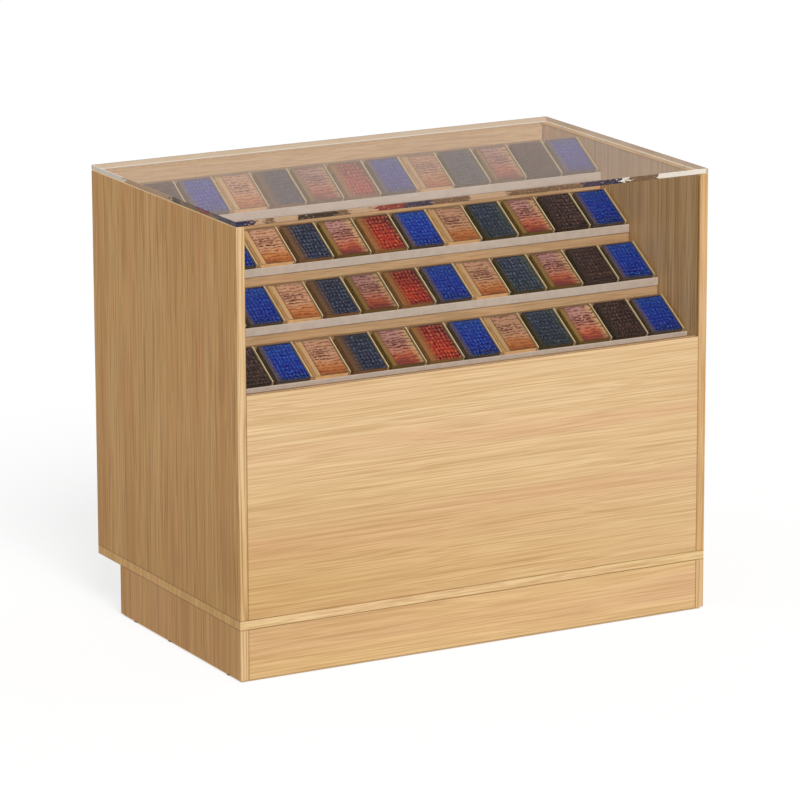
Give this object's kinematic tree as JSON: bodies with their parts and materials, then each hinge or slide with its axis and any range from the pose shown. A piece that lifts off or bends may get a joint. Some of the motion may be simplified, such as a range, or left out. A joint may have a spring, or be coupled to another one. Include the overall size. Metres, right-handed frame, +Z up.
{
  "type": "glass display cabinet",
  "caption": "Counter-height display cabinet: wooden carcass, glass top and front, stepped rack of sloping tiers that pulls out to the rear, storage with hinged doors below.",
  "frame": {"origin": "on the floor, under the middle of the cabinet's width and depth, at the centre glide", "axes": "+X to the right seen from the front, +Y to the rear, +Z up"},
  "size_m": [1.04, 0.663, 0.9],
  "materials": {
    "faced_board": "satin melamine, straight oak grain",
    "clear_glass": "clear float glass, polished edges",
    "clear_plastic": "clear acrylic",
    "lip_plastic": "satin grey beige",
    "zinc_steel": "zinc plated",
    "bar_steel": "satin nickel",
    "dark_plastic": "moulded",
    "white_plastic": "moulded",
    "lock_brass": "nickel faced",
    "card_brown": "printed card in clear film",
    "card_blue": "printed card in clear film",
    "card_tan": "printed card in clear film",
    "card_navy": "printed card in clear film",
    "card_rose": "printed card in clear film",
    "card_red": "printed card in clear film",
    "card_teal": "printed card in clear film"
  },
  "bodies": {
    "cabinet": {"bottom_board": "faced_board", "side_panel_left": "faced_board", "side_panel_right": "faced_board", "front_panel": "faced_board", "deck_board": "faced_board", "storage_divider": "faced_board", "storage_shelf_left": "faced_board", "storage_shelf_right": "faced_board", "shelf_pins": "zinc_steel", "plinth_front": "faced_board", "plinth_rear": "faced_board", "plinth_side_left": "faced_board", "plinth_side_right": "faced_board", "plinth_brace": "faced_board", "floor_glides": "dark_plastic", "cam_fittings": "zinc_steel", "front_glass": "clear_glass", "glass_top": "clear_glass", "glass_pads": "clear_plastic", "slide_outer_left": "zinc_steel", "slide_outer_right": "zinc_steel", "hinge_leaves_cabinet": "zinc_steel", "hinge_pins": "zinc_steel", "door_catches": "white_plastic", "lock_keeper": "zinc_steel"},
    "slides_middle": {"slide_middle_left": "zinc_steel", "slide_middle_right": "zinc_steel", "slide_balls": "zinc_steel"},
    "rack": {"rack_base": "faced_board", "rack_rear_panel": "faced_board", "rack_gable_left": "faced_board", "rack_gable_centre": "faced_board", "rack_gable_right": "faced_board", "tier_bed_1": "faced_board", "tier_bed_2": "faced_board", "tier_bed_3": "faced_board", "tier_bed_4": "faced_board", "tier_lip_1": "lip_plastic", "tier_lip_2": "lip_plastic", "tier_lip_3": "lip_plastic", "tier_lip_4": "lip_plastic", "pack_dividers": "clear_plastic", "packs_brown": "card_brown", "packs_blue": "card_blue", "packs_tan": "card_tan", "packs_navy": "card_navy", "packs_rose": "card_rose", "packs_red": "card_red", "packs_teal": "card_teal", "rack_handles": "bar_steel", "slide_inner_left": "zinc_steel", "slide_inner_right": "zinc_steel"},
    "door_left": {"door_left": "faced_board", "door_handle_left": "bar_steel", "hinge_leaves_left": "zinc_steel"},
    "door_right": {"door_right": "faced_board", "door_handle_right": "bar_steel", "hinge_leaves_right": "zinc_steel", "lock_housing": "lock_brass"},
    "lock_plug": {"lock_plug": "lock_brass"}
  },
  "joints": [
    {"name": "rack_slide", "type": "slide", "parent": "cabinet", "child": "rack", "axis": [0, 1, 0], "range_m": [0, 0.5]},
    {"name": "middle_slide", "type": "slide", "parent": "cabinet", "child": "slides_middle", "axis": [0, 1, 0], "range_m": [0, 0.25]},
    {"name": "door_left_hinge", "type": "hinge", "parent": "cabinet", "child": "door_left", "pos_m": [-0.5005, 0.3187, 0.281], "axis": [0, 0, 1], "range_deg": [0, 170]},
    {"name": "door_right_hinge", "type": "hinge", "parent": "cabinet", "child": "door_right", "pos_m": [0.5005, 0.3187, 0.281], "axis": [0, 0, -1], "range_deg": [0, 170]},
    {"name": "lock_turn", "type": "hinge", "parent": "door_right", "child": "lock_plug", "pos_m": [0.03, 0.315, 0.403], "axis": [0, -1, 0], "range_deg": [0, 90]}
  ],
  "couplings": [
    {"joint": "middle_slide", "follows": "rack_slide", "ratio": 0.5}
  ]
}
